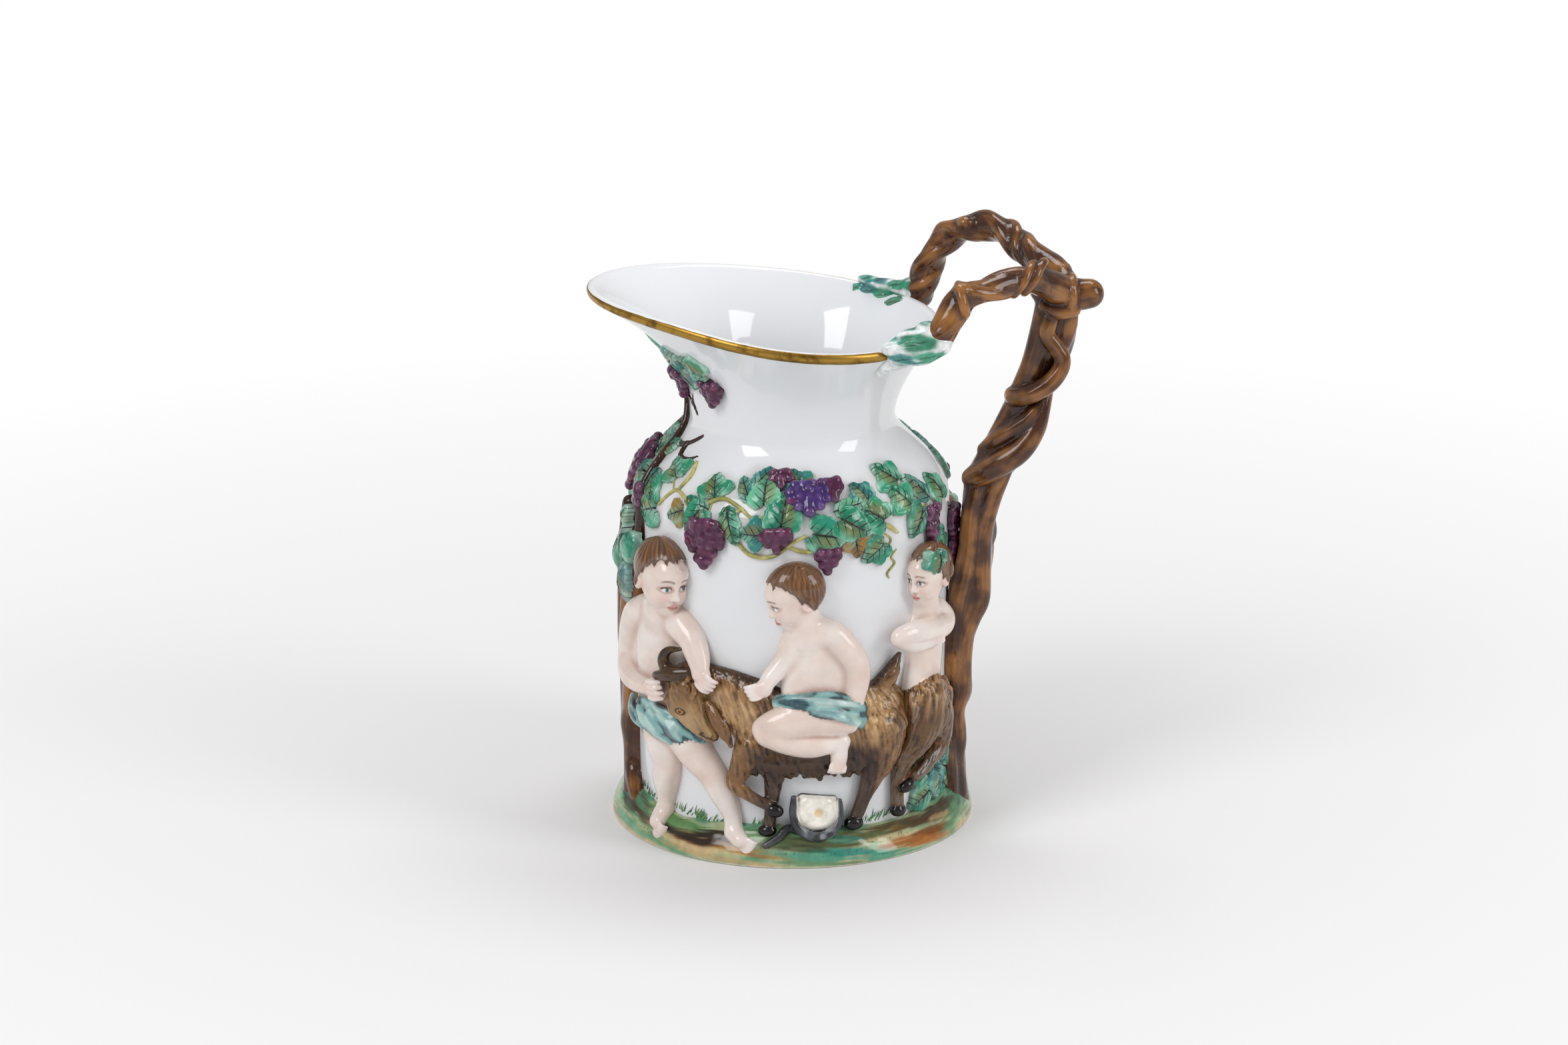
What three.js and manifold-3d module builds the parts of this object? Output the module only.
// Porcelain wine jug. A cylindrical vessel with a flared spout stands on a moulded strip of ground.
// A twisted vine branch makes the handle, and sprigged reliefs of vines, children and a goat are
// luted round the wall, the same on both faces. Millimetres, +Z up, origin at the centre of the
// flat underside, spout at -X, handle at +X, the face seen first at -Y.

import * as THREE from "three";
import { mergeVertices } from "three/addons/utils/BufferGeometryUtils.js";
import Module from "manifold-3d";

const wasm = await Module();
wasm.setup();

// Driving dimensions of the vessel
const BODY_RADIUS = 55;
const SHOULDER_HEIGHT = 116;
const SHOULDER_FULLNESS = 1.3;
const NECK_RADIUS = 36;
const NECK_HEIGHT = 147.5;
const MOUTH_RADIUS = 52;
const MOUTH_HEIGHT = 182.4;
const MOUTH_TILT = 6;
const MOUTH_SADDLE = 1;
const SPOUT_REACH = 71.3;
const SPOUT_HALF_WIDTH = 37;
const FLARE_POWER = 2;
const SPOUT_FLARE = 0.4;
const WALL = 3.6;
const LIP_CROWN = 0.8;
const FLOOR = 5;

// Driving dimensions of the ground strip
const GROUND_WIDTH = 9;
const GROUND_HEIGHT = 12;
const GROUND_EDGE = 6;
const GROUND_SWELL = 1;

// Driving dimensions of the handle
const TRUNK_WIDTH = 18;
const TRUNK_DEPTH = 15.5;
const TRUNK_ROOT_WIDTH = 26;
const KNOT_REACH = 93;
const KNOT_HEIGHT = 192;
const KNOT_RADIUS = 6.4;
const STUB_LENGTH = 12;
const BRANCH_RADIUS = 5.2;
const FRONT_ARCH = 20;
const BACK_ARCH = 25;
const FRONT_SPUR_ANGLE = 47;
const BACK_SPUR_ANGLE = 140;
const SPUR_LENGTH = 13;
const SPUR_RADIUS = 6;
const VINE_RADIUS = 3.6;
const VINE_TURNS = 2;
const ROPINESS = 0.13;
const TRUNK_STRANDS = 5;
const TRUNK_TWIST = 2;
const SUNK_SHARE = 0.25;
const TWIST_POINTS = 10;
const TWINE_RADIUS = 2.4;
const TWINE_TURNS = 2;

// Driving dimensions of the reliefs
const RELIEF = 6;
const HEAD_ROOM = 5;
const GOAT_SHARE = 0.52;
const HEAD_GIRTHS = [10.5, 13, 8];
const FOOT_SINK = 1;
const LEAF_SPAN = 13;
const LEAF_LIFT = 1.2;
const LEAF_CROWN = 1.4;
const STEM_RADIUS = 1.2;
const BERRY_RADIUS = 2.4;
const TREE_WIDTH = 20;
const TREE_STRANDS = 3;
const BOWL_RADIUS = 8.5;
const BOWL_DEPTH = 6;
const BOWL_WALL = 1.4;

// Hairline left between two luted pieces
const SEAT_GAP = 0.3;

// Facets round the vessel, round a limb and along one span of a limb
const VESSEL_FACETS = 32;
const LIMB_SIDES = 5;
const LIMB_STEPS = 1;

// How far a limb's end stands out, as a share of its radius
const BLUNTNESS = 0.6;

// Place of a spur along the flare of the wall
const SPUR_WAY = 2.9;

const SPOUT_ANGLE = -90;
const HANDLE_ANGLE = 90;

const glaze = (color, roughness) => new THREE.MeshStandardMaterial({ color, roughness, metalness: 0 });
const PORCELAIN = glaze(0xf0f1f4, 0.12);
const GROUND = glaze(0x6d8f6a, 0.2);
const BARK = glaze(0x6b4326, 0.18);
const VINE = glaze(0x93683c, 0.18);
const LEAF = glaze(0x2f9a7c, 0.16);
const GRAPE = glaze(0x5f2150, 0.14);
const SKIN = glaze(0xf0dad0, 0.2);
const FUR = glaze(0x7b5a3a, 0.22);
const PEWTER = glaze(0x8d8f90, 0.2);

// Turn in radians between an angle round the jug and the spout
function turnFromSpout(angle) {
  return THREE.MathUtils.degToRad(THREE.MathUtils.euclideanModulo(angle - SPOUT_ANGLE + 180, 360) - 180);
}

// How far the rim stands from the axis: a round mouth drawn out into the spout
function rimReach(angle) {
  const share = turnFromSpout(angle) / THREE.MathUtils.degToRad(SPOUT_HALF_WIDTH);
  return MOUTH_RADIUS + (SPOUT_REACH - MOUTH_RADIUS) * Math.exp(-share * share);
}

// How high the rim stands: it climbs to the spout and dips at the sides
function rimHeight(angle) {
  const turn = turnFromSpout(angle);
  return MOUTH_HEIGHT + MOUTH_TILT * Math.cos(turn) + MOUTH_SADDLE * Math.cos(2 * turn);
}

// Radius and height of the outer wall: way 0 to 1 is the body, 1 to 2 the shoulder, 2 to 3 the flare
function profile(angle, way) {
  if (way <= 1) {
    return new THREE.Vector2(BODY_RADIUS, way * SHOULDER_HEIGHT);
  }
  if (way <= 2) {
    const fall = (1 + Math.cos(Math.PI * (way - 1) ** SHOULDER_FULLNESS)) / 2;
    const height = THREE.MathUtils.lerp(SHOULDER_HEIGHT, NECK_HEIGHT, way - 1);
    return new THREE.Vector2(THREE.MathUtils.lerp(NECK_RADIUS, BODY_RADIUS, fall), height);
  }
  const flare = (way - 2) ** (FLARE_POWER + SPOUT_FLARE * Math.cos(turnFromSpout(angle)));
  const height = THREE.MathUtils.lerp(NECK_HEIGHT, rimHeight(angle), way - 2);
  return new THREE.Vector2(THREE.MathUtils.lerp(NECK_RADIUS, rimReach(angle), flare), height);
}

// Place along the profile at a height
function wayAt(angle, height) {
  if (height <= SHOULDER_HEIGHT) {
    return height / SHOULDER_HEIGHT;
  }
  if (height <= NECK_HEIGHT) {
    return 1 + (height - SHOULDER_HEIGHT) / (NECK_HEIGHT - SHOULDER_HEIGHT);
  }
  return Math.min(3, 2 + (height - NECK_HEIGHT) / (rimHeight(angle) - NECK_HEIGHT));
}

// Point at a radius and height, its angle counted from the front toward the handle
function around(angle, radius, height) {
  const turn = THREE.MathUtils.degToRad(angle);
  return new THREE.Vector3(radius * Math.sin(turn), -radius * Math.cos(turn), height);
}

// Point set off square to the wall
function offWall(angle, way, out) {
  const here = profile(angle, way);
  const above = profile(angle, Math.min(3, way + 0.01));
  const along = above.sub(profile(angle, Math.max(0, way - 0.01))).normalize();
  return around(angle, here.x + along.y * out, here.y - along.x * out);
}

// Point on the wall at a height, set off it by a relief
function onWall(angle, height, out) {
  return offWall(angle, wayAt(angle, height), out);
}

// Angle that an arc length spans on the wall, on the body unless a radius is given
function arc(length, radius = BODY_RADIUS) {
  return THREE.MathUtils.radToDeg(length / radius);
}

// Closed skin over a run of rings, each end closed by a point, or the run closed on itself
function skin(rings, ends) {
  const count = rings[0].length;
  const points = rings.flat();
  const faces = [];
  const at = (ring, i) => (ring % rings.length) * count + (i % count);
  const spans = ends ? rings.length - 1 : rings.length;
  for (let ring = 0; ring < spans; ring++) {
    for (let i = 0; i < count; i++) {
      faces.push(at(ring, i), at(ring, i + 1), at(ring + 1, i + 1));
      faces.push(at(ring, i), at(ring + 1, i + 1), at(ring + 1, i));
    }
  }
  if (ends) {
    const last = rings.length - 1;
    points.push(...ends);
    for (let i = 0; i < count; i++) {
      faces.push(points.length - 2, at(0, i + 1), at(0, i));
      faces.push(points.length - 1, at(last, i), at(last, i + 1));
    }
  }
  const geometry = new THREE.BufferGeometry().setFromPoints(points);
  geometry.setIndex(faces);
  return geometry;
}

// Solid of a closed geometry
function solidOf(geometry) {
  const bare = geometry.clone();
  bare.deleteAttribute("normal");
  bare.deleteAttribute("uv");
  const merged = mergeVertices(bare);
  const vertProperties = new Float32Array(merged.attributes.position.array);
  const triVerts = new Uint32Array(merged.index.array);
  return new wasm.Manifold(new wasm.Mesh({ numProp: 3, vertProperties, triVerts }));
}

// Named mesh of a solid
function meshOf(name, solid, material) {
  const { vertProperties, triVerts } = solid.getMesh();
  const geometry = new THREE.BufferGeometry();
  geometry.setAttribute("position", new THREE.BufferAttribute(vertProperties, 3));
  geometry.setIndex(new THREE.BufferAttribute(triVerts, 1));
  geometry.computeVertexNormals();
  const mesh = new THREE.Mesh(geometry, material);
  mesh.name = name;
  return mesh;
}

// A form is a function that gives its solid, grown on every side by a clearance
function join(...forms) {
  return (grow) => forms.map((form) => form(grow)).reduce((sum, next) => sum.add(next));
}

// Solid of a form with the seats of its neighbours cut into it, without the crumbs that a cut leaves
function seat(form, ...neighbours) {
  const cut = neighbours.reduce((solid, neighbour) => solid.subtract(neighbour(SEAT_GAP)), form(0));
  return cut.decompose().reduce((best, next) => (next.volume() > best.volume() ? next : best));
}

// Value eased along a list, by the share of the way through it
function eased(values, share) {
  const place = share * (values.length - 1);
  const low = Math.min(Math.floor(place), values.length - 2);
  const ease = THREE.MathUtils.smoothstep(place, low, low + 1);
  return THREE.MathUtils.lerp(values[low], values[low + 1], ease);
}

// Rounded limb along a smooth path, its radius eased from point to point. Depth is its thickness
// square to the wall over its width, and lobes with a twist give a ropy section.
function limb(path, radii, options = {}) {
  const { depth = 1, sides = LIMB_SIDES, steps = LIMB_STEPS } = options;
  const { lobes = 0, ropiness = 0, twist = 0, away } = options;
  const curve = new THREE.CatmullRomCurve3(path, false, "centripetal");
  const count = (path.length - 1) * steps;
  const depths = [depth, depth].flat();
  return (grow) => {
    const round = (share) => eased(radii, share) * Math.min(1, eased(depths, share)) + grow;
    const section = (share) => {
      const centre = curve.getPoint(share);
      const forward = curve.getTangent(share);
      const outward = away ?? new THREE.Vector3(centre.x, centre.y, 0).normalize();
      const side = new THREE.Vector3().crossVectors(outward, forward).normalize();
      const top = new THREE.Vector3().crossVectors(forward, side);
      const radius = eased(radii, share);
      const flat = eased(depths, share);
      return Array.from({ length: sides }, (_, i) => {
        const turn = (i / sides) * 2 * Math.PI;
        const ropy = radius * (1 + ropiness * Math.cos(lobes * turn + twist * share));
        const wide = (ropy + grow) * Math.cos(turn);
        const high = (ropy * flat + grow) * Math.sin(turn);
        return centre.clone().addScaledVector(side, wide).addScaledVector(top, high);
      });
    };
    const end = (share, slip) => {
      const reach = slip * round(share);
      return curve.getPoint(share).addScaledVector(curve.getTangent(share), reach);
    };
    const rings = Array.from({ length: count + 1 }, (_, i) => section(i / count));
    return solidOf(skin(rings, [end(0, -BLUNTNESS), end(1, BLUNTNESS)]));
  };
}

// Egg-shaped form on the wall, its half sizes across, up and out
function egg(centre, across, up, out, lean = 0) {
  return (grow) => {
    const geometry = new THREE.SphereGeometry(1, 8, 4);
    geometry.rotateX(Math.PI / 2);
    geometry.scale(across + grow, out + grow, up + grow);
    geometry.rotateY(THREE.MathUtils.degToRad(lean));
    geometry.rotateZ(Math.atan2(centre.x, -centre.y));
    geometry.translate(centre.x, centre.y, centre.z);
    return solidOf(geometry);
  };
}

// Same form on the other face of the jug
function otherFace(form) {
  return (grow) => form(grow).mirror([0, 1, 0]);
}

// Vessel rings between two places on the profile
function wallRings(ways, out) {
  return ways.map((way) => Array.from({ length: VESSEL_FACETS }, (_, i) => (
    offWall((i / VESSEL_FACETS) * 360, way, out)
  )));
}

const BODY_WAYS = [0, 1, 1.25, 1.5, 1.75, 2, 2.35, 2.6, 2.8, 3];
const INNER_WAYS = [3, 2.7, 2.35, 2, 1.75, 1.5, 1.25, 1];

// Hollow vessel with an open mouth and a rounded lip
function vessel(grow) {
  const outer = wallRings(BODY_WAYS, grow);
  const lip = Array.from({ length: VESSEL_FACETS }, (_, i) => {
    const angle = (i / VESSEL_FACETS) * 360;
    const along = offWall(angle, 3, 0).sub(offWall(angle, 2.9, 0)).normalize();
    return offWall(angle, 3, -WALL / 2).addScaledVector(along, LIP_CROWN + grow);
  });
  const floorWay = FLOOR / SHOULDER_HEIGHT;
  const inner = wallRings([...INNER_WAYS, floorWay], -WALL - grow);
  return solidOf(skin([...outer, lip, ...inner], [around(0, 0, 0), around(0, 0, FLOOR)]));
}

// Vessel filled to the brim, which cuts the seat of everything luted to its wall
function vesselCore(grow) {
  const rings = wallRings(BODY_WAYS, grow);
  const below = Array.from({ length: VESSEL_FACETS }, (_, i) => (
    around((i / VESSEL_FACETS) * 360, BODY_RADIUS + grow, -GROUND_HEIGHT)
  ));
  return solidOf(skin([below, ...rings], [around(0, 0, -GROUND_HEIGHT), around(0, 0, MOUTH_HEIGHT)]));
}

// Height of the ground against the wall
function groundTop(angle) {
  return GROUND_HEIGHT + GROUND_SWELL * Math.cos(THREE.MathUtils.degToRad(4 * (angle - HANDLE_ANGLE)));
}

// Strip of ground round the foot, rounded over to a low edge
function ground(grow) {
  const inside = BODY_RADIUS + SEAT_GAP - grow;
  const outside = BODY_RADIUS + GROUND_WIDTH;
  const width = outside - inside;
  const sections = Array.from({ length: VESSEL_FACETS }, (_, i) => {
    const angle = (i / VESSEL_FACETS) * 360;
    const top = groundTop(angle);
    return [
      around(angle, inside, -grow),
      around(angle, inside, top + grow),
      around(angle, inside + 0.45 * width, THREE.MathUtils.lerp(GROUND_EDGE, top, 0.75) + grow),
      around(angle, inside + 0.85 * width + grow / 2, GROUND_EDGE + grow),
      around(angle, outside + grow, 0.55 * GROUND_EDGE),
      around(angle, outside + grow, 0.2 * GROUND_EDGE),
      around(angle, outside - 0.2 * GROUND_EDGE + grow, -grow),
    ];
  });
  return solidOf(skin(sections));
}

// Trunk of the handle: rooted in the ground, it hugs the wall, then leans out to the knot
const knot = new THREE.Vector3(KNOT_REACH, 0, KNOT_HEIGHT);
const leaning = new THREE.Vector3(BODY_RADIUS + TRUNK_DEPTH / 2, 0, SHOULDER_HEIGHT).lerp(knot, 0.5);
const trunkPath = [
  onWall(HANDLE_ANGLE, 0.6 * GROUND_HEIGHT, 0.15 * TRUNK_DEPTH),
  onWall(HANDLE_ANGLE, SHOULDER_HEIGHT / 3, 0.05 * TRUNK_DEPTH),
  onWall(HANDLE_ANGLE, 0.6 * SHOULDER_HEIGHT, 0.25 * TRUNK_DEPTH),
  onWall(HANDLE_ANGLE, 0.85 * SHOULDER_HEIGHT, 0.5 * TRUNK_DEPTH),
  onWall(HANDLE_ANGLE, SHOULDER_HEIGHT, 0.7 * TRUNK_DEPTH),
  leaning,
  knot.clone().add(new THREE.Vector3(-KNOT_RADIUS / 2, 0, -3 * KNOT_RADIUS)),
  knot,
];
const lowWidth = 0.85 * TRUNK_ROOT_WIDTH;
const knotWidth = 0.8 * TRUNK_WIDTH;
const trunkWidths = [
  TRUNK_ROOT_WIDTH, lowWidth, lowWidth, TRUNK_WIDTH, TRUNK_WIDTH, TRUNK_WIDTH, TRUNK_WIDTH, knotWidth,
];
const handleTrunk = limb(trunkPath, trunkWidths.map((width) => width / 2), {
  depth: trunkWidths.map((width) => Math.min(1, TRUNK_DEPTH / width)),
  sides: 4 * TRUNK_STRANDS,
  lobes: TRUNK_STRANDS,
  ropiness: ROPINESS,
  twist: TRUNK_TWIST,
});

// Helical vine wound round a limb and half sunk in its bark, from one share of the limb's path to another.
// Across and deep are the limb's own radii along the path, and away the direction in which it is deep.
function twining(path, [start, finish], turns, radius, across, deep, away) {
  const core = new THREE.CatmullRomCurve3(path, false, "centripetal");
  const count = Math.ceil(turns * TWIST_POINTS);
  const chordSag = 1 / Math.cos(Math.PI / TWIST_POINTS);
  const clear = (radii, share) => swollen * eased(radii, share) * chordSag + SUNK_SHARE * radius;
  const points = Array.from({ length: count + 1 }, (_, i) => {
    const share = THREE.MathUtils.lerp(start, finish, i / count);
    const forward = core.getTangent(share);
    const side = new THREE.Vector3().crossVectors(away, forward).normalize();
    const top = new THREE.Vector3().crossVectors(forward, side);
    const turn = (i / count) * turns * 2 * Math.PI;
    return core.getPoint(share)
      .addScaledVector(side, clear(across, share) * Math.cos(turn))
      .addScaledVector(top, clear(deep, share) * Math.sin(turn));
  });
  const thin = 0.6 * radius;
  return limb(points, [thin, radius, radius, thin], { sides: 4, away: new THREE.Vector3(1, 0, 1) });
}

const swollen = 1 + ROPINESS;
const handleVine = twining(trunkPath, [0.62, 0.93], VINE_TURNS, VINE_RADIUS,
  trunkWidths.map((width) => width / 2), trunkWidths.map((width) => Math.min(width, TRUNK_DEPTH) / 2),
  new THREE.Vector3(1, 0, 0));

// Cut stub where the branches meet over the trunk
const knotHeel = knot.clone().add(new THREE.Vector3(-KNOT_RADIUS, 0, KNOT_RADIUS / 2));
const stubEnd = knot.clone().add(new THREE.Vector3(STUB_LENGTH, 0, 0));
const handleKnot = limb(
  [knotHeel, knot, stubEnd],
  [KNOT_RADIUS, KNOT_RADIUS, 0.7 * KNOT_RADIUS],
  { sides: 10, away: new THREE.Vector3(0, 0, 1) },
);

// Lobed vine leaf on the wall, seated at its middle, its crown raised and its edge standing free.
// Turn is where its tip points, counted from straight up toward the handle, and span its length.
function leaf(angle, height, turn, span) {
  const points = 6;
  const tip = THREE.MathUtils.degToRad(turn);
  const { x: wallRadius } = profile(angle, wayAt(angle, height));
  return (grow) => {
    const edge = Array.from({ length: points }, (_, i) => {
      const lobe = -(i / points) * 2 * Math.PI;
      const reach = (0.8 + 0.12 * Math.cos(3 * lobe) + 0.1 * Math.cos(lobe)) * (span / 2) + grow;
      const across = reach * Math.sin(tip + lobe);
      const rise = reach * Math.cos(tip + lobe);
      return onWall(angle + arc(across, wallRadius), height + rise, SEAT_GAP + LEAF_LIFT);
    });
    const low = onWall(angle, height, 1.5 * SEAT_GAP - grow);
    const high = onWall(angle, height, SEAT_GAP + LEAF_LIFT + LEAF_CROWN + grow);
    return solidOf(skin([edge], [low, high]));
  };
}

// Bunch of grapes hanging from a height, lumpy with berries and narrowing to a point
function bunch(angle, height, width, length) {
  const rows = Math.max(2, Math.round(length / (2 * BERRY_RADIUS)));
  const path = Array.from({ length: rows + 1 }, (_, row) => (
    onWall(angle, height - (row / rows) * length, BERRY_RADIUS / 2)
  ));
  const radii = [0.38, 0.46, 0.36, 0.14].map((share) => share * width);
  return limb(path, radii, { depth: 0.75, sides: 6, lobes: 3, ropiness: 0.14, twist: rows * Math.PI });
}

// Sprig growing at an angle and height: a vine stem through places across and up from there, and leaves
// given as their place, turn and share of the span
function sprig(angle, height, places, leaves) {
  const path = places.map(([across, rise]) => (
    onWall(angle + arc(across), height + rise, STEM_RADIUS + 1.5 * SEAT_GAP)
  ));
  const blades = leaves.map(([across, rise, turn, share]) => (
    leaf(angle + arc(across), height + rise, turn, share * LEAF_SPAN)
  ));
  return join(limb(path, [STEM_RADIUS, STEM_RADIUS], { sides: 3 }), ...blades);
}

// Maker of a figure's limbs and head. Places are across and up in hundredths of its height and out in shares
// of the relief, and girths are radii in hundredths of its height.
function figure(angle, floor, height) {
  const scaled = (share) => (share * height) / 100;
  const place = ([across, up, out]) => onWall(angle + arc(scaled(across)), floor + scaled(up), out * RELIEF);
  return {
    limb: (places, girths, depth, sides) => limb(places.map(place), girths.map(scaled), { depth, sides }),
    head: (middle, lean) => egg(place(middle), ...HEAD_GIRTHS.map(scaled), lean),
  };
}

// The children stand on the ground and reach up to the garland, and the goat is to their scale
const groundLine = GROUND_HEIGHT - FOOT_SINK;
const childHeight = SHOULDER_HEIGHT - HEAD_ROOM - groundLine;
const goatHeight = GOAT_SHARE * childHeight;

// Child who leads the goat: turned toward it, one hand under its jaw and one on its neck
const LEADER_ANGLE = -45;
const leaderChild = figure(LEADER_ANGLE, groundLine, childHeight);
const leader = join(
  leaderChild.head([-1, 87.5, 0.4], 0),
  leaderChild.limb([[-17, 38, 0.6], [-5, 34, 0.9], [9, 26, 0.8]], [5.5, 8, 6.5], 0.45),
  leaderChild.limb(
    [[-4, 30, 0.2], [-5, 44, 0.25], [-5, 58, 0.3], [-3, 74, 0.2]],
    [12, 12.5, 14.5, 9], 0.5,
  ),
  leaderChild.limb(
    [[-20, 65, 0.4], [-31, 48, 0.3], [-16, 43, 0.9], [3, 47, 1.2]],
    [7, 5.8, 5.2, 4.4], 0.8,
  ),
  leaderChild.limb([[9, 69, 0.4], [15, 62, 0.8], [20, 57, 1.1]], [6.5, 5.4, 4], 0.8),
  leaderChild.limb(
    [[-5, 34, 0.3], [0, 20, 0.5], [-1, 6, 0.4], [-1, -1.5, 1.3]],
    [9.5, 7.4, 4.8, 4], 0.75,
  ),
  leaderChild.limb(
    [[6, 33, 0.3], [19, 20.5, 0.5], [27, 6, 0.4], [31, -2.5, 1.3]],
    [9.5, 7.4, 4.8, 4], 0.75,
  ),
);

// Goat with its head lowered, one foreleg raised
const GOAT_ANGLE = 10;
const goatBody = figure(GOAT_ANGLE, groundLine, goatHeight);
const goat = join(
  goatBody.limb(
    [[50, 76, 0.2], [22, 70, 0.3], [-14, 71, 0.3], [-48, 88, 0.4], [-78, 97, 0.5]],
    [25, 31, 31, 23, 13], 0.42, 6,
  ),
  goatBody.limb([[-79, 101, 0.7], [-70, 84, 0.8], [-60, 69, 0.8]], [14, 11, 8], 0.7),
  goatBody.limb(
    [[-81, 106, 0.8], [-93, 112, 0.9], [-89, 121, 0.8], [-77, 123, 0.7]],
    [5, 4, 3.2, 2], 1, 4,
  ),
  goatBody.limb([[48, 94, 0.2], [62, 112, 0.3]], [9, 4], 0.6),
  goatBody.limb([[-34, 58, 0.3], [-46, 36, 0.6], [-26, 22, 0.6], [-18, 18, 0.6]], [14, 8, 5, 6], 0.8),
  goatBody.limb([[-22, 54, 0.2], [-22, 34, 0.3], [-24, 8, 0.4], [-26, 0, 0.5]], [12, 7, 5, 6], 0.8),
  goatBody.limb([[44, 60, 0.2], [40, 33, 0.4], [33, 15, 0.4], [28, 5, 0.5]], [20, 9, 5.5, 6], 0.7),
);

// Child who rides it, leaning forward over the withers
const riderChild = figure(GOAT_ANGLE, groundLine + goatHeight, childHeight);
const rider = join(
  riderChild.head([-3.5, 36, 0.4], -12),
  riderChild.limb([[8, -8, 0.4], [6, 3, 0.4], [3, 15, 0.4], [2, 27, 0.3]], [10.5, 11, 12.5, 8], 0.5),
  riderChild.limb([[10, 19, 0.6], [18, 8, 0.9], [14, -6, 1.3]], [6.5, 5.2, 4.2], 0.8),
  riderChild.limb([[-6, 16, 0.4], [-11, 8, 0.7], [-14, 2, 1.1]], [5.2, 4.4, 3.8], 0.8),
  riderChild.limb([[10, -11, 0.7], [-1, -9.5, 0.9], [-12, -12, 0.9]], [10, 9, 7.4], 0.6),
  riderChild.limb([[-12, -13, 0.9], [-1, -18, 0.9], [9, -19, 0.9]], [7, 6, 4.4], 0.7),
  riderChild.limb([[11, -16, 0.9], [11, -27, 1]], [4, 3.2], 0.7),
);

// Young faun looking on with folded arms, shaggy below the waist
const FAUN_ANGLE = 57;
const faunChild = figure(FAUN_ANGLE, groundLine, childHeight);
const faun = join(
  faunChild.limb(
    [[1, 48, 0.25], [-2, 38, 0.4], [-8, 29, 0.4], [-12, 19, 0.3], [-12, 5, 0.4]],
    [11, 10, 7, 4, 3.4], 0.6,
  ),
  faunChild.limb([[3, 40, 0.3], [6, 25, 0.4], [-8, 15.5, 0.5], [-15, 10, 0.6]], [7, 5.4, 3.4, 3.2], 0.7),
  faunChild.head([0.5, 87.5, 0.4], 0),
  faunChild.limb([[1, 48, 0.25], [1, 58, 0.25], [2, 66, 0.3], [3, 76, 0.2]], [9.5, 9.8, 11.5, 7], 0.5),
  faunChild.limb(
    [[8, 70, 0.5], [-4, 69, 0.9], [-14, 71, 0.9], [-5, 63, 1.1], [5, 62, 1.1]],
    [5.6, 5, 4.2, 4.4, 3.6], 0.8,
  ),
  faunChild.limb([[8, 83, 0.6], [14, 87, 0.5]], [3, 1.4], 0.6),
);

// Bowl tipped toward the viewer, full to a little below its rim
const BOWL_ANGLE = 13.5;
const BOWL_TILT = 35;
function bowl(grow) {
  const section = [
    [0, -grow],
    [0.5 * BOWL_RADIUS, -grow],
    [0.88 * BOWL_RADIUS + grow, 0.4 * BOWL_DEPTH],
    [BOWL_RADIUS + grow, BOWL_DEPTH + grow],
    [BOWL_RADIUS - BOWL_WALL, BOWL_DEPTH + grow],
    [BOWL_RADIUS - 1.2 * BOWL_WALL, BOWL_DEPTH - BOWL_WALL + grow],
    [0, BOWL_DEPTH - 0.5 * BOWL_WALL + grow],
  ].map(([radius, height]) => new THREE.Vector2(radius, height));
  const geometry = new THREE.LatheGeometry(section, 12);
  const place = onWall(BOWL_ANGLE, GROUND_HEIGHT + 0.7 * BOWL_RADIUS, BOWL_WALL);
  geometry.rotateX(THREE.MathUtils.degToRad(180 - BOWL_TILT));
  geometry.rotateZ(THREE.MathUtils.degToRad(BOWL_ANGLE));
  geometry.translate(place.x, place.y, place.z);
  return solidOf(geometry);
}

// Ivy at the foot of the handle
const ivy = sprig(66, GROUND_HEIGHT, [[0, 0], [0, 13], [4, 22]], [
  [-0.5, 8, -10, 1.1], [-3.8, 14, -55, 0.9], [4.8, 16, 30, 0.9], [-3.8, 6, -110, 0.9], [3.4, 6, 110, 0.9],
]);

// Vine garland along the shoulder, in sprigs
const garlandByTree = sprig(-82, SHOULDER_HEIGHT, [[0, -28], [0, -12], [1, 4], [1, 18]], [
  [0, -26, 175, 1], [0, -17, 170, 1], [2, 10, -120, 0.95], [0, 19, 55, 0.8],
]);
const garlandLeft = sprig(-35, SHOULDER_HEIGHT, [
  [-24, 9], [-17.3, 6], [-10.6, 12], [-2.9, 10.5], [11.5, 13], [19.2, 11], [25, 8.6],
], [
  [-24, 11, 180, 0.7], [-22, 3, -110, 1.1], [-15.4, 13, -50, 1], [-5.8, 7.5, -115, 0.85],
  [1.9, 10, -80, 0.9], [2.9, 7, -150, 0.95], [7.2, 15.5, -20, 1.05], [15.4, 6, 160, 1.1],
]);
const garlandMiddle = sprig(13, SHOULDER_HEIGHT, [
  [-25, 1], [-19.2, -4.5], [-12.5, -3], [-4.8, 3], [2.9, 6], [12.5, 8], [22.1, 7], [25.9, 0],
], [
  [-21.6, 17, 35, 1], [-16.3, 12, 0, 1.1], [-8.6, 8, 10, 1.25], [-2.9, 17, -30, 1.05],
  [5.3, 14, 120, 1.05], [-20.2, 1, -90, 0.9], [3.4, 3, 100, 1.25], [13.4, 12, 80, 1],
  [12.5, 6, 120, 1.15], [20.2, 13, -30, 0.9], [23, 7, -60, 1.15], [15.4, 0, 170, 0.8],
  [24, -2, -125, 1],
]);
const garlandRight = sprig(62, SHOULDER_HEIGHT, [[-11.5, 14], [-8.6, 9], [-1.9, 6], [7.7, 5], [10.6, -4]], [
  [-11.5, 16.5, -40, 1.1], [-2.6, 10.5, -35, 1.1], [-9.6, 9, -40, 1], [-4.8, 4, -145, 1.1],
  [10.6, 9, -20, 1.15], [9.6, -4, -130, 1],
]);
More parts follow.
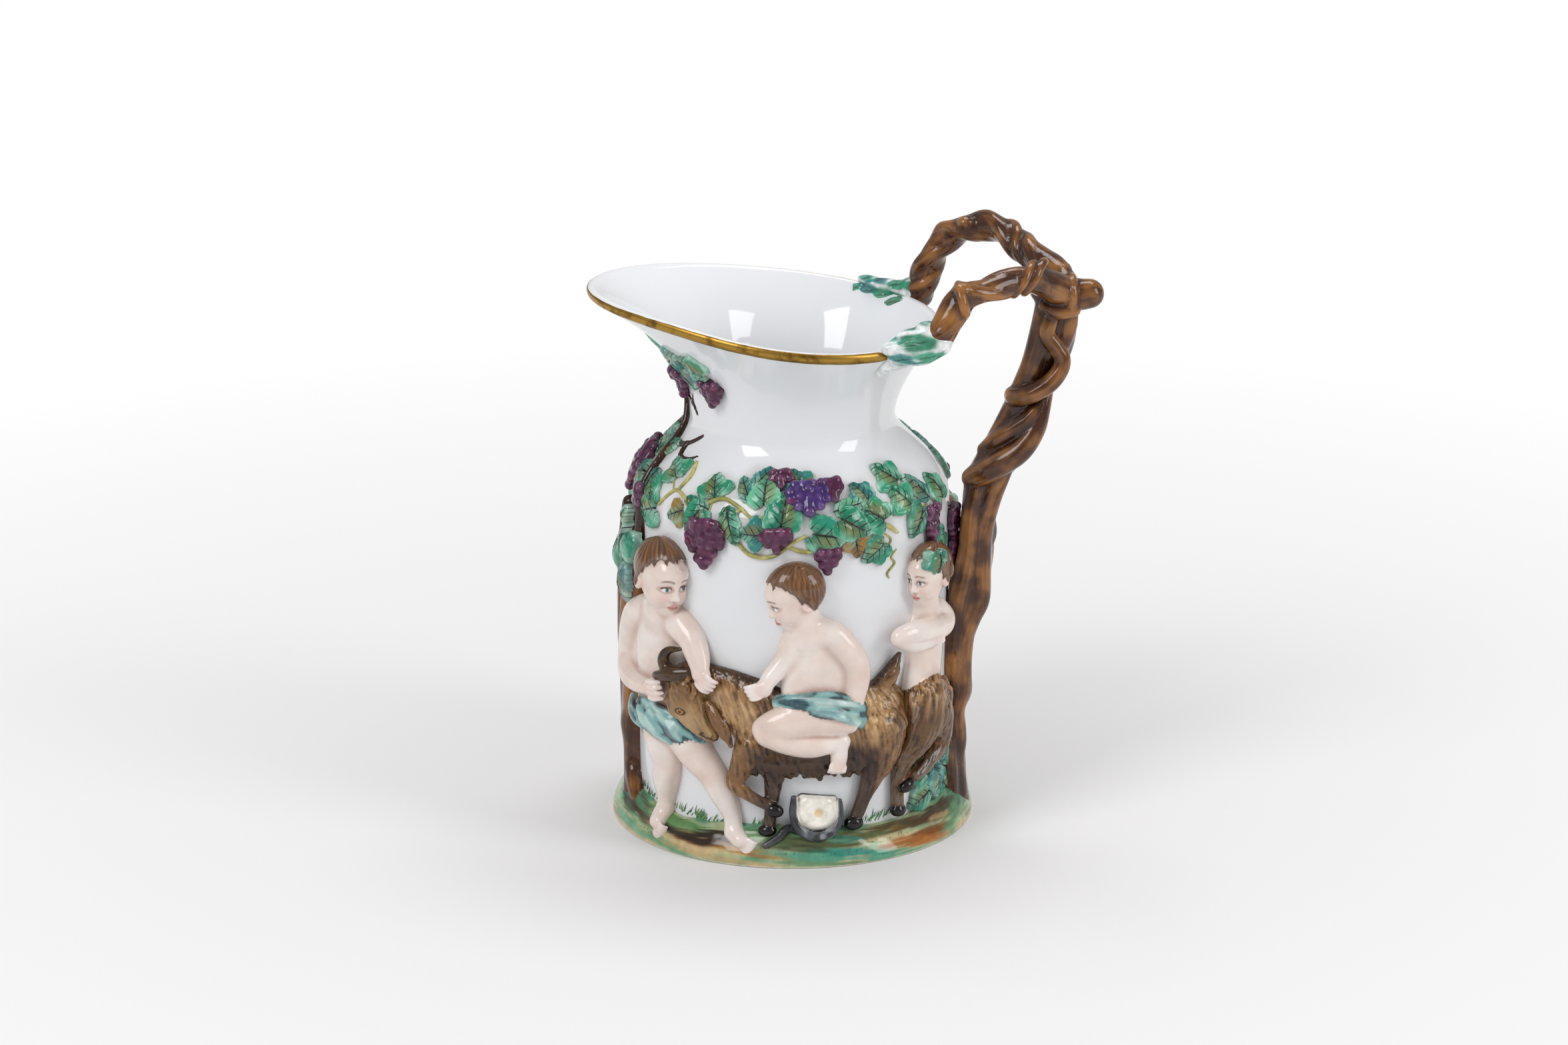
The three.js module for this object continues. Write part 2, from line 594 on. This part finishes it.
const grapesHanging = bunch(-27.5, SHOULDER_HEIGHT + 3, 12, 15);
const grapesMiddle = bunch(11, SHOULDER_HEIGHT + 15, 12, 9);
const grapesLow = bunch(0, SHOULDER_HEIGHT + 4, 9, 7);
const grapesUnderLeaf = bunch(17.5, SHOULDER_HEIGHT - 3, 7, 7);
const grapesRight = bunch(65, SHOULDER_HEIGHT + 4, 6, 11);

// Tree under the spout: two stems from one root part round the shoulder and meet below the lip
function treeStem(side) {
  const at = (away, height, out) => onWall(SPOUT_ANGLE + side * away, height, out * TREE_WIDTH);
  const radii = [1.4, 1, 0.9, 0.44, 0.36, 0.32, 0.28, 0.24, 0.2].map((share) => (share * TREE_WIDTH) / 2);
  return limb([
    at(9, GROUND_HEIGHT / 2, 0.05),
    at(9, SHOULDER_HEIGHT / 3, 0.02),
    at(12, 0.65 * SHOULDER_HEIGHT, 0.02),
    at(20, 0.9 * SHOULDER_HEIGHT, 0.04),
    at(21, SHOULDER_HEIGHT, 0.08),
    at(20, THREE.MathUtils.lerp(SHOULDER_HEIGHT, NECK_HEIGHT, 0.3), 0.08),
    at(16, THREE.MathUtils.lerp(SHOULDER_HEIGHT, NECK_HEIGHT, 0.6), 0.06),
    at(7, NECK_HEIGHT, 0.06),
    at(2, THREE.MathUtils.lerp(NECK_HEIGHT, MOUTH_HEIGHT, 0.4), 0.06),
  ], radii, { depth: 0.55, sides: 4 * TREE_STRANDS, lobes: TREE_STRANDS, ropiness: ROPINESS });
}
const spoutTree = join(treeStem(1), treeStem(-1));
const underLip = THREE.MathUtils.lerp(NECK_HEIGHT, MOUTH_HEIGHT, 0.55);
const lipLeafAngle = arc(0.7 * LEAF_SPAN, profile(SPOUT_ANGLE, wayAt(SPOUT_ANGLE, underLip)).x);
const spoutLeaves = join(
  leaf(SPOUT_ANGLE, underLip + 3, 0, 1.3 * LEAF_SPAN),
  leaf(SPOUT_ANGLE + lipLeafAngle, underLip, 120, 1.3 * LEAF_SPAN),
  leaf(SPOUT_ANGLE - lipLeafAngle, underLip, -120, 1.3 * LEAF_SPAN),
);
const spoutGrapes = bunch(SPOUT_ANGLE + 38, underLip, 9, 7);
const shoulderGrapes = bunch(SPOUT_ANGLE, SHOULDER_HEIGHT + 11, 9, 12);

// One arm of the fork: a leafy spur at the rim, a branch that arches from it into the knot, and its twine
function forkArm(angle, arch) {
  const root = offWall(angle, SPUR_WAY, -WALL / 2);
  const tip = root.clone().add(new THREE.Vector3(SPUR_LENGTH, 0, SPUR_RADIUS / 2));
  const top = MOUTH_HEIGHT + arch;
  const fallX = THREE.MathUtils.lerp(tip.x, knot.x, 0.75);
  const fallZ = THREE.MathUtils.lerp(knot.z, top, 0.8);
  const path = [
    tip,
    new THREE.Vector3(tip.x + BRANCH_RADIUS, tip.y, THREE.MathUtils.lerp(tip.z, top, 0.65)),
    new THREE.Vector3(THREE.MathUtils.lerp(tip.x, knot.x, 0.45), 0.84 * tip.y, top),
    new THREE.Vector3(fallX, 0.5 * tip.y, fallZ),
    knot.clone().add(new THREE.Vector3(0, 0.1 * tip.y, KNOT_RADIUS / 3)),
  ];
  const radii = [1.1, 1, 0.85, 0.95, 1].map((share) => share * BRANCH_RADIUS);
  return {
    branch: limb(path, radii, {
      sides: 9,
      steps: 2,
      lobes: 3,
      ropiness: ROPINESS,
      twist: 8,
      away: new THREE.Vector3(0, 1, 0),
    }),
    twine: twining(path, [0.2, 0.78], TWINE_TURNS, TWINE_RADIUS, radii, radii, new THREE.Vector3(0, 1, 0)),
    spur: join(
      limb([root, tip], [SPUR_RADIUS, BRANCH_RADIUS], { sides: 10, away: new THREE.Vector3(0, 0, 1) }),
      leaf(angle, rimHeight(angle) - 0.5 * LEAF_SPAN, 160, 1.5 * LEAF_SPAN),
    ),
  };
}
const frontArm = forkArm(FRONT_SPUR_ANGLE, FRONT_ARCH);
const backArm = forkArm(BACK_SPUR_ANGLE, BACK_ARCH);

// Pieces that stand once, then the pieces that both faces carry
const bothFaces = (...forms) => join(...forms, ...forms.map(otherFace));
const handleFoot = bothFaces(handleTrunk, handleVine);
const treeAndGrapes = bothFaces(spoutTree, shoulderGrapes);
const seatOnJug = (form, ...neighbours) => seat(form, vesselCore, ground, ...neighbours);
const shared = [
  ["jug_body", vessel(0), PORCELAIN],
  ["ground_strip", ground(0), GROUND],
  ["handle_trunk", seatOnJug(handleTrunk, handleKnot), BARK],
  ["handle_vine", seatOnJug(handleVine, handleTrunk, handleKnot), VINE],
  ["handle_knot", handleKnot(0), BARK],
  ["handle_branch_front", seat(frontArm.branch, handleKnot, handleTrunk, handleVine, frontArm.spur), BARK],
  ["handle_branch_back", seat(backArm.branch, handleKnot, handleTrunk, handleVine, backArm.spur), BARK],
  ["branch_twine_front", seat(frontArm.twine, frontArm.branch, frontArm.spur, handleKnot), VINE],
  ["branch_twine_back", seat(backArm.twine, backArm.branch, backArm.spur, handleKnot), VINE],
  ["rim_spur_front", seat(frontArm.spur, vessel), LEAF],
  ["rim_spur_back", seat(backArm.spur, vessel), LEAF],
  ["spout_tree", seatOnJug(spoutTree, spoutLeaves, bothFaces(leader)), BARK],
  ["spout_leaves", seatOnJug(spoutLeaves), LEAF],
  ["shoulder_grapes", seatOnJug(shoulderGrapes, spoutTree), GRAPE],
];
const paired = [
  ["spout_grapes", seatOnJug(spoutGrapes, spoutLeaves), GRAPE],
  ["leader_child", seatOnJug(leader), SKIN],
  ["goat", seatOnJug(goat, leader, rider), FUR],
  ["rider_child", seatOnJug(rider), SKIN],
  ["faun_child", seatOnJug(faun, goat), SKIN],
  ["tipped_bowl", seatOnJug(bowl, goat), PEWTER],
  ["ivy_plant", seatOnJug(ivy, faun, handleFoot), LEAF],
  ["garland_by_tree", seatOnJug(garlandByTree, treeAndGrapes, leader), LEAF],
  ["garland_left", seatOnJug(garlandLeft, treeAndGrapes, grapesHanging, garlandMiddle, leader), LEAF],
  ["garland_middle", seatOnJug(garlandMiddle, grapesMiddle, grapesLow, grapesUnderLeaf, rider), LEAF],
  ["garland_right", seatOnJug(garlandRight, grapesRight, garlandMiddle, faun, handleFoot), LEAF],
  ["grapes_hanging", seatOnJug(grapesHanging), GRAPE],
  ["grapes_middle", seatOnJug(grapesMiddle), GRAPE],
  ["grapes_low", seatOnJug(grapesLow), GRAPE],
  ["grapes_under_leaf", seatOnJug(grapesUnderLeaf, rider), GRAPE],
  ["grapes_right", seatOnJug(grapesRight, faun), GRAPE],
];

const jug = new THREE.Group();
jug.add(...shared.map(([name, solid, material]) => meshOf(name, solid, material)));
for (const [face, flip] of [["front", 1], ["back", -1]]) {
  const side = new THREE.Group();
  side.scale.y = flip;
  side.add(...paired.map(([name, solid, material]) => meshOf(`${name}_${face}`, solid, material)));
  jug.add(side);
}

export default jug;
